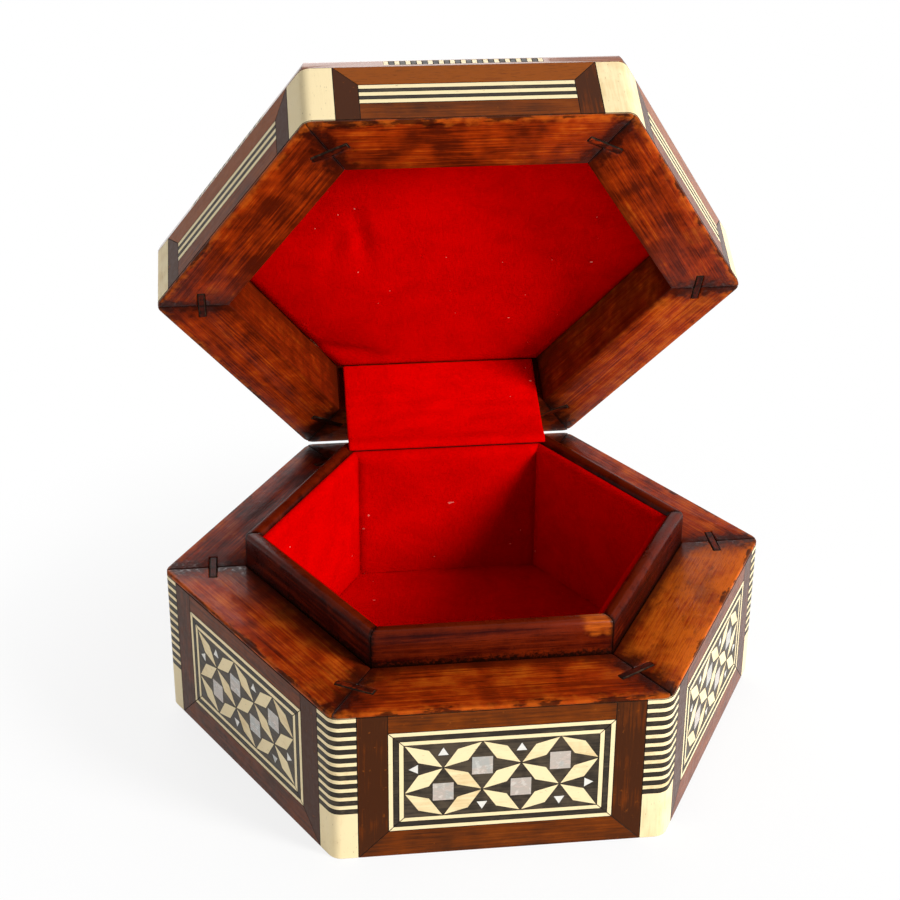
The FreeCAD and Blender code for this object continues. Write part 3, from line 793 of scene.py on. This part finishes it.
def hexagon_sheet(name, apothem, cuts):
    """Flat six-sided sheet of even triangles, its corners on the X axis."""
    piece = add_primitive(
        name, bpy.ops.mesh.primitive_circle_add, vertices=6, radius=apothem / COS30, fill_type="TRIFAN")
    points = coordinates(piece.data)
    if abs(abs(points[:, 1]).max() - apothem) > 1e-6:
        move_points(piece.data, carried(Matrix.Rotation(SIXTH / 2, 4, "Z"), points))
    edit(piece)
    bpy.ops.mesh.subdivide(number_cuts=cuts)
    leave_edit()
    return piece


def edge_distance(points, apothem):
    """Distance of flat points from the hexagon's sides."""
    angles = np.arange(6) * SIXTH - math.pi / 2
    reach = np.outer(points[:, 0], np.cos(angles)) + np.outer(points[:, 1], np.sin(angles))
    return apothem - reach.max(axis=1)


def swell(piece, apothem, crown, seed):
    """Swells a sheet held along its edge by air pressure, as cloth, and scales the swelling to a crown."""
    working_scale = 10.0
    bump_scale = 120.0
    bump_height = 0.012
    last_frame = 30
    flat = coordinates(piece.data)
    start = flat * working_scale
    start[:, 2] = [
        bump_height * noise.noise(Vector((x * bump_scale, y * bump_scale, seed))) for x, y in flat[:, :2]]
    rim = edge_distance(flat, apothem) < 0.01 * MM
    start[rim, 2] = 0
    move_points(piece.data, start)
    pins = piece.vertex_groups.new(name="pins")
    pins.add(np.flatnonzero(rim).tolist(), 1.0, "REPLACE")
    select_only(piece)
    modifier = piece.modifiers.new("Cloth", "CLOTH")
    cloth = modifier.settings
    cloth.quality = 6
    cloth.mass = 0.3
    cloth.vertex_group_mass = "pins"
    cloth.use_pressure = True
    cloth.uniform_pressure_force = 1.5
    cloth.shrink_min = -0.03
    cloth.bending_stiffness = 0.3
    cloth.effector_weights.gravity = 0
    modifier.collision_settings.use_collision = False
    modifier.point_cache.frame_start = 1
    modifier.point_cache.frame_end = last_frame
    for number in range(1, last_frame + 1):
        bpy.context.scene.frame_set(number)
    bpy.ops.object.modifier_apply(modifier=modifier.name)
    bpy.context.scene.frame_set(1)
    piece.vertex_groups.clear()
    height = coordinates(piece.data)[:, 2]
    flat[:, 2] = height * crown / height[abs(height).argmax()]
    move_points(piece.data, flat)


def press_creases(piece, creases):
    """Presses soft creases into a swollen sheet."""
    points = coordinates(piece.data)
    for x, y, degrees, long, wide, deep in creases:
        angle = math.radians(degrees)
        right = points[:, 0] / MM - x
        back = points[:, 1] / MM - y
        along = right * math.cos(angle) + back * math.sin(angle)
        across = back * math.cos(angle) - right * math.sin(angle)
        points[:, 2] -= deep * MM * np.exp(-(along / long) ** 2 - (across / wide) ** 2)
    move_points(piece.data, points)


def thick_pad(piece, apothem, edge, roll):
    """Gives a swollen sheet its rolled rim and a flat back, with its face up and its back at height 0."""
    points = coordinates(piece.data)
    inside = np.clip(edge_distance(points, apothem) / roll, 0, 1)
    rolled = np.sqrt(1 - (1 - inside) ** 2)
    rim_share = 0.4
    points[:, 2] += edge * (rim_share + (1 - rim_share) * rolled)
    move_points(piece.data, points)
    edit(piece)
    bpy.ops.mesh.extrude_region_move()
    leave_edit()
    points = coordinates(piece.data)
    points[[vertex.select for vertex in piece.data.vertices], 2] = 0
    move_points(piece.data, points)
    edit(piece)
    bpy.ops.mesh.normals_make_consistent(inside=False)
    leave_edit()


# Pieces

class INLAIDBOX_OT_boards(bpy.types.Operator):
    """Thick boards of the base and the lid, with their polished rims"""
    bl_idname = "inlaid_box.boards"
    bl_label = "Boards"

    # How light a board's stain is, where it isn't a middling 0.5; partly painted light, as the base's front
    # right board is made lighter as a painted highlight of its gloss
    TONES = {
        "base_wall_front_right": 1.15, "base_wall_front": 0.45, "base_wall_front_left": 0.6,
        "base_wall_back_left": 0.25, "lid_wall_front": 0.25, "lid_wall_front_right": 0.3,
        "lid_wall_back_right": 0.6, "lid_wall_back_left": 0.2, "lid_wall_front_left": 0.2,
    }

    def execute(self, context):
        size = settings().sizes.board_round
        for side in SIDES:
            for wall in ("base_wall_", "lid_wall_"):
                tone = self.TONES.get(wall + side, 0.5)
                dress(wall + side, size, segments=3, glued=False, tones=(tone, tone))
        return {"FINISHED"}


class INLAIDBOX_OT_collar(bpy.types.Operator):
    """Dark collar inside the base's rim, and the keys across the mitres"""
    bl_idname = "inlaid_box.collar"
    bl_label = "Collar and keys"

    # A tone of 1 picks out the front strip, which has a worn end
    FRONT_TONES = (1.0, 1.0)
    OTHER_TONES = (0.0, 0.6)

    def execute(self, context):
        sizes = settings().sizes
        for side in SIDES:
            tones = self.FRONT_TONES if side == "front" else self.OTHER_TONES
            dress("collar_" + side, sizes.collar_round, segments=2, glued=False, tones=tones)
        for node in ("base_corner_keys", "lid_corner_keys"):
            dress(node, sizes.key_round, corner=True, finish="key_wood")
        return {"FINISHED"}


class INLAIDBOX_OT_plain_boards(bpy.types.Operator):
    """Unstained boards under the well and under the lid's inlay"""
    bl_idname = "inlaid_box.plain_boards"
    bl_label = "Bottom and top boards"

    def execute(self, context):
        for node in ("bottom_board", "lid_top_board"):
            dress(node, settings().sizes.inlay_round, glued=False)
        return {"FINISHED"}


class INLAIDBOX_OT_veneer(bpy.types.Operator):
    """Walnut frames on the sides, the lid's edge band and the border of its top"""
    bl_idname = "inlaid_box.veneer"
    bl_label = "Walnut frames"

    # Range of tones from dark to light
    STILE_TONES = (-0.4, 0.1)
    RAIL_TONES = (0.2, 0.6)
    # Painted light: the lid's top rails and border are made lighter, standing in for the light from above on
    # the open lid
    LIT_TOP_TONES = (0.9, 1.4)

    def execute(self, context):
        sizes = settings().sizes
        for node in ("base_stiles", "lid_stiles"):
            dress(node, sizes.inlay_round, grain="up", tones=self.STILE_TONES)
        for node in ("base_foot_rails", "base_rim_rails", "lid_rim_rails"):
            dress(node, sizes.inlay_round, tones=self.RAIL_TONES)
        for node in ("lid_top_rails", "lid_top_border"):
            dress(node, sizes.inlay_round, tones=self.LIT_TOP_TONES)
        dress("lid_edge_bands", sizes.shoulder_round, segments=4, glued=False, finish="polished_edge",
              choose=on_lid_edge)
        return {"FINISHED"}


class INLAIDBOX_OT_bone(bpy.types.Operator):
    """Bone posts, lines, lozenges and dashes"""
    bl_idname = "inlaid_box.bone"
    bl_label = "Bone inlay"

    # Tones of the thin lines, which are paler than the rest
    LINE_TONES = (-0.5, 0.2)

    def execute(self, context):
        sizes = settings().sizes
        for node in ("base_post_feet", "lid_posts"):
            dress(node, sizes.inlay_round, grain="up", corner=True)
        dress("base_post_bone_bands", sizes.inlay_round, corner=True)
        for node in ("base_bone_lines", "lid_bone_lines", "lid_top_bone_lines", "lid_edge_bone_dashes"):
            dress(node, sizes.inlay_round, tones=self.LINE_TONES)
        dress("base_bone_lozenges", sizes.inlay_round, settle=sizes.tile_unevenness)
        dress("lid_top_bone_stars", sizes.inlay_round)
        return {"FINISHED"}


class INLAIDBOX_OT_ebony(bpy.types.Operator):
    """Ebony bands, lines, dashes and grounds"""
    bl_idname = "inlaid_box.ebony"
    bl_label = "Ebony inlay"

    # Tones of the grounds, which are greyer than the rest
    GROUND_TONES = (0.8, 1.6)

    def execute(self, context):
        sizes = settings().sizes
        dress("base_post_ebony_bands", sizes.inlay_round, corner=True)
        for node in ("base_ebony_lines", "lid_ebony_lines", "lid_top_ebony_lines", "lid_edge_ebony_dashes"):
            dress(node, sizes.inlay_round)
        dress("base_ebony_ground", 0, settle=sizes.tile_unevenness, tones=self.GROUND_TONES)
        dress("lid_top_ebony_ground", 0, tones=self.GROUND_TONES)
        return {"FINISHED"}


class INLAIDBOX_OT_pearl(bpy.types.Operator):
    """Mother-of-pearl tiles"""
    bl_idname = "inlaid_box.pearl"
    bl_label = "Mother-of-pearl"

    def execute(self, context):
        sizes = settings().sizes
        tiles = dress("base_pearl_tiles", sizes.inlay_round, settle=sizes.tile_unevenness)
        self.brighten_chips(tiles)
        dress("lid_top_pearl", sizes.inlay_round)
        return {"FINISHED"}

    def brighten_chips(self, tiles):
        """Raises the tone of the small triangular chips, which have fewer corners than the squares."""
        numbers = islands(tiles.data)
        corners = np.bincount(numbers)
        layer = tiles.data.attributes["tone"].data
        tone = np.empty(len(numbers), np.float32)
        layer.foreach_get("value", tone)
        tone[corners[numbers] < corners.max()] += 1.0
        layer.foreach_set("value", tone)


class INLAIDBOX_OT_hinges(bpy.types.Operator):
    """Brass leaves, pins and screws"""
    bl_idname = "inlaid_box.hinges"
    bl_label = "Hinges"

    def execute(self, context):
        size = settings().sizes.brass_round
        for node in ("base_hinge_leaves", "lid_hinge_leaves", "hinge_pins", "base_hinge_screws",
                     "lid_hinge_screws"):
            dress(node, size, glued=False)
        return {"FINISHED"}


class INLAIDBOX_OT_lid_pad(bpy.types.Operator):
    """Crowned velvet pad in the lid"""
    bl_idname = "inlaid_box.lid_pad"
    bl_label = "Lid pad"

    # Creases in millimetres: middle (x, y), direction in degrees, half length, half width, depth
    CREASES = (
        (-21.5, -9.0, 80, 9.0, 2.0, 0.95),
        (-27.5, -6.0, 104, 8.0, 2.2, 0.60),
        (-24.0, 38.0, 18, 13.0, 2.4, 0.75),
        (14.0, -38.0, 5, 16.0, 3.0, 0.30),
    )

    # How far the pad reaches past its solid, to close the gap at the boards
    EDGE_GROWTH = 0.2 * MM

    def execute(self, context):
        low, high = shut_box("lid_velvet_pad")
        apothem = high[1] + self.EDGE_GROWTH
        deep = high[2] - low[2]
        edge = deep / 2
        piece = hexagon_sheet("lid_pad_velvet", apothem, cuts=35)
        swell(piece, apothem, crown=deep - edge, seed=3.0)
        press_creases(piece, self.CREASES)
        thick_pad(piece, apothem, edge, roll=2.0 * MM)
        points = coordinates(piece.data)
        points[:, 2] = high[2] - points[:, 2]
        move_points(piece.data, carried(OPEN, points))
        piece.data.flip_normals()
        velvet(piece, "lid_velvet_pad", "lid")
        return {"FINISHED"}


class INLAIDBOX_OT_well(bpy.types.Operator):
    """Velvet floor pad and wall linings of the well"""
    bl_idname = "inlaid_box.well"
    bl_label = "Well velvet"

    # How far the floor pad's edge stays below the top of its solid
    EDGE_DROP = 0.1 * MM

    def execute(self, context):
        sizes = settings().sizes
        low, high = shut_box("well_floor_velvet")
        apothem = high[1]
        edge = high[2] - low[2] - self.EDGE_DROP
        floor = hexagon_sheet("well_floor_pad", apothem, cuts=31)
        swell(floor, apothem, crown=sizes.floor_crown, seed=9.0)
        thick_pad(floor, apothem, edge, roll=1.5 * MM)
        move_points(floor.data, coordinates(floor.data) + (0, 0, low[2]))
        velvet(floor, "well_floor_velvet", "base")
        self.linings(sizes)
        return {"FINISHED"}

    def linings(self, sizes):
        """Six padded panels in one mesh, each shaped from the same block and turned to its side."""
        piece = add_primitive("well_lining_velvet", bpy.ops.mesh.primitive_cube_add, size=1.0)
        edit(piece)
        bpy.ops.mesh.subdivide(number_cuts=23)
        leave_edit()
        block = piece.data
        unit = coordinates(block)
        points = np.concatenate([self.panel(unit, sizes, side) for side in range(6)])
        faces = [[index + side * len(unit) for index in face.vertices]
                 for side in range(6) for face in block.polygons]
        piece.data = bpy.data.meshes.new("well_lining_velvet")
        piece.data.from_pydata(points.tolist(), [], faces)
        bpy.data.meshes.remove(block)
        velvet(piece, "well_linings", "base")

    def panel(self, unit, sizes, side):
        """Points of one lining: a slab whose face swells and whose top edge rolls over."""
        low, high = shut_box("well_linings")
        back_face = high[1]
        tall = high[2] - low[2]
        top_roll = 1.2 * MM
        top_share = 0.25
        across = unit[:, 0] * 2
        back = unit[:, 1] + 0.5
        up = unit[:, 2] + 0.5
        roll = np.clip((1 - up) * tall / top_roll, 0, 1)
        round_top = np.sqrt(np.clip(1 - (1 - roll) ** 2, 0, 1))
        swelling = (1 - across ** 4) * np.sin(np.pi * np.clip(up, 0, 1)) ** 0.6
        ripple = np.array([
            noise.noise(Vector((x * 2.2 + side * 5, z * 4.0, side))) for x, z in zip(across, up)])
        puff = sizes.lining_puff * swelling * (1 + 0.8 * ripple)
        thick = sizes.lining_thick * (top_share + (1 - top_share) * round_top)
        out = back_face - back * (thick + puff)
        local = np.stack([across * out * TAN30, -out, low[2] + up * tall], axis=1)
        return carried(Matrix.Rotation(side * SIXTH, 4, "Z"), local)


class INLAIDBOX_OT_strap(bpy.types.Operator):
    """Velvet strap over the rims at the hinge"""
    bl_idname = "inlaid_box.strap"
    bl_label = "Strap"

    def execute(self, context):
        half = shut_box("hinge_strap")[1][0]
        ripple = 0.35 * MM
        forward_share = 0.6
        piece = add_primitive(
            "hinge_strap_velvet", bpy.ops.mesh.primitive_grid_add, x_subdivisions=50, y_subdivisions=60,
            size=2.0)
        unit = coordinates(piece.data)
        upper, lower = self.ends()
        line = self.smooth_line([*upper, (upper[-1] + lower[0]) / 2, *lower])
        steps = np.concatenate([[0], np.cumsum(np.linalg.norm(np.diff(line, axis=0), axis=1))])
        length = steps[-1]
        reach = (unit[:, 1] + 1) / 2 * length
        y = np.interp(reach, steps, line[:, 0])
        z = np.interp(reach, steps, line[:, 1])
        waves = np.array([noise.noise(Vector((x * 3.0, v * 5.0, 2.0))) for x, v in unit[:, :2]])
        lift = waves * np.sin(np.pi * reach / length) * ripple
        y -= lift * forward_share
        z += lift
        move_points(piece.data, np.stack([unit[:, 0] * half, y, z], axis=1))
        apply_modifier(piece, "SOLIDIFY", thickness=settings().sizes.strap_thick, offset=0.0)
        apply_modifier(piece, "BEVEL", width=0.3 * MM, segments=2, limit_method="ANGLE")
        velvet(piece, "hinge_strap", None)
        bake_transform(piece)
        2 * half
        return {"FINISHED"}

    def ends(self):
        """Places on the strap's middle line: down the lid's recess, and over the collar into the well."""
        wall = shut_box("lid_wall_back")[0]
        pad = shut_box("lid_velvet_pad")[0]
        collar_low, collar_high = shut_box("collar_back")
        inner, outer, top = collar_low[1], collar_high[1], collar_high[2]
        recess = wall[1] - 0.9 * MM
        upper = ((recess, pad[2] + 0.9 * MM), (recess, wall[2] + 2.0 * MM))
        lower = ((outer - 0.65 * MM, top + 1.1 * MM), (inner + 0.65 * MM, top + 0.95 * MM),
                 (inner - 0.72 * MM, top + 0.5 * MM), (inner - 1.12 * MM, top - 0.5 * MM))
        return [OPEN @ Vector((0, *place)) for place in upper], [Vector((0, *place)) for place in lower]

    def smooth_line(self, route):
        """Points (y, z) on a smooth curve near the route."""
        curve = bpy.data.curves.new("strap_line", "CURVE")
        curve.dimensions = "3D"
        spline = curve.splines.new("NURBS")
        spline.points.add(len(route) - 1)
        for point, place in zip(spline.points, route):
            point.co = (*place, 1)
        spline.order_u = 3
        spline.use_endpoint_u = True
        spline.resolution_u = 24
        holder = bpy.data.objects.new("strap_line", curve)
        bpy.context.scene.collection.objects.link(holder)
        drawn = bpy.data.meshes.new_from_object(holder)
        line = coordinates(drawn)[:, 1:]
        bpy.data.objects.remove(holder)
        bpy.data.curves.remove(curve)
        bpy.data.meshes.remove(drawn)
        return line


class INLAIDBOX_OT_stage(bpy.types.Operator):
    """Pale floor, soft lights and the camera"""
    bl_idname = "inlaid_box.stage"
    bl_label = "Stage"

    # Round lamps: place and width in metres
    LAMPS = {
        "key": ((0.75, -0.57, 0.48), 0.30),
        "fill": ((-0.80, -0.55, 0.12), 0.60),
        "top": ((0.05, 0.38, 0.90), 0.80),
        "back": ((-0.15, 0.85, 0.55), 0.80),
    }
    LAMP_AIM = Vector((0, 0, 0.06))

    def execute(self, context):
        stage = settings().stage
        scene = context.scene
        scene.view_settings.view_transform = "Standard"
        self.floor(stage)
        self.sky(scene, stage)
        for name, (place, size) in self.LAMPS.items():
            self.lamp(scene, name + "_light", Vector(place), size, getattr(stage, name + "_power"))
        self.camera(scene, stage)
        return {"FINISHED"}

    def floor(self, stage):
        """Pale floor that keeps the box's shadow and turns white away from it."""
        floor = add_primitive(
            "stage_floor", bpy.ops.mesh.primitive_grid_add, x_subdivisions=8, y_subdivisions=8,
            size=stage.floor_size)
        finish = Finish("pale_floor")
        finish.shade(Base_Color=stage.floor_colour, Roughness=0.9, Specular_IOR_Level=0.0)
        place = finish.object_place()
        away = finish.node("ShaderNodeVectorMath", {"operation": "LENGTH"}, {0: place}, "Value")
        shadow_near = 0.06
        shadow_far = 0.17
        whiteness = finish.span(away, shadow_near, shadow_far, 0.84, 1.0)
        lit = Value(finish, finish.surface.outputs["BSDF"])
        white = finish.node("ShaderNodeEmission", {}, {"Strength": 1.0})
        mixed = finish.node("ShaderNodeMixShader", {}, {0: finish.seen() * whiteness, 1: lit, 2: white})
        finish.put(finish.tree.nodes["Material Output"].inputs["Surface"], mixed)
        floor.data.materials.append(finish.material)

    def sky(self, scene, stage):
        """Surroundings that look white and light the box at their own level."""
        scene.world = bpy.data.worlds.new("white_room")
        scene.world.use_nodes = True
        room = Nodes(scene.world.node_tree)
        background = room.tree.nodes["Background"]
        room.put(background.inputs["Color"], (1, 1, 1))
        room.put(background.inputs["Strength"], room.span(room.seen(), 0.0, 1.0, stage.sky_level, 1.0))

    def lamp(self, scene, name, place, size, power):
        data = bpy.data.lights.new(name, "AREA")
        data.shape = "DISK"
        data.size = size
        data.energy = power
        lamp = bpy.data.objects.new(name, data)
        lamp.location = place
        lamp.rotation_euler = (self.LAMP_AIM - place).to_track_quat("-Z", "Y").to_euler()
        scene.collection.objects.link(lamp)

    def camera(self, scene, stage):
        data = bpy.data.cameras.new("photo_camera")
        data.sensor_width = 36.0
        data.lens = stage.camera_lens
        data.shift_y = stage.camera_shift
        data.clip_start = 0.01
        camera = bpy.data.objects.new("photo_camera", data)
        turn = Matrix.Rotation(stage.camera_azimuth, 4, "Z")
        tilt = Matrix.Rotation(math.radians(90) - stage.camera_elevation, 4, "X")
        roll = Matrix.Rotation(stage.camera_roll, 4, "Z")
        camera.matrix_world = Matrix.Translation(stage.camera_place) @ turn @ tilt @ roll
        scene.collection.objects.link(camera)
        scene.camera = camera


OPERATORS = (
    INLAIDBOX_OT_boards,
    INLAIDBOX_OT_collar,
    INLAIDBOX_OT_plain_boards,
    INLAIDBOX_OT_veneer,
    INLAIDBOX_OT_bone,
    INLAIDBOX_OT_ebony,
    INLAIDBOX_OT_pearl,
    INLAIDBOX_OT_hinges,
    INLAIDBOX_OT_lid_pad,
    INLAIDBOX_OT_well,
    INLAIDBOX_OT_strap,
    INLAIDBOX_OT_stage,
)


class INLAIDBOX_PT_panel(bpy.types.Panel):
    """Sidebar list of the box's pieces"""
    bl_idname = "INLAIDBOX_PT_panel"
    bl_label = "Inlaid Box"
    bl_space_type = "VIEW_3D"
    bl_region_type = "UI"
    bl_category = "Inlaid Box"

    def draw(self, context):
        chosen = context.scene.inlaid_box
        for group in (chosen.sizes, chosen.colours, chosen.stage):
            column = self.layout.column()
            for key in group.__annotations__:
                column.prop(group, key)
        for operator in OPERATORS:
            self.layout.operator(operator.bl_idname)


CLASSES = (
    InlaidBoxSizes, InlaidBoxColours, InlaidBoxStage, InlaidBoxSettings, *OPERATORS, INLAIDBOX_PT_panel)


def register():
    for entry in CLASSES:
        bpy.utils.register_class(entry)
    bpy.types.Scene.inlaid_box = bpy.props.PointerProperty(type=InlaidBoxSettings)


def unregister():
    del bpy.types.Scene.inlaid_box
    for entry in reversed(CLASSES):
        bpy.utils.unregister_class(entry)


def main():
    register()
    for operator in OPERATORS:
        group, name = operator.bl_idname.split(".")
        getattr(getattr(bpy.ops, group), name)()


if __name__ == "__main__":
    main()
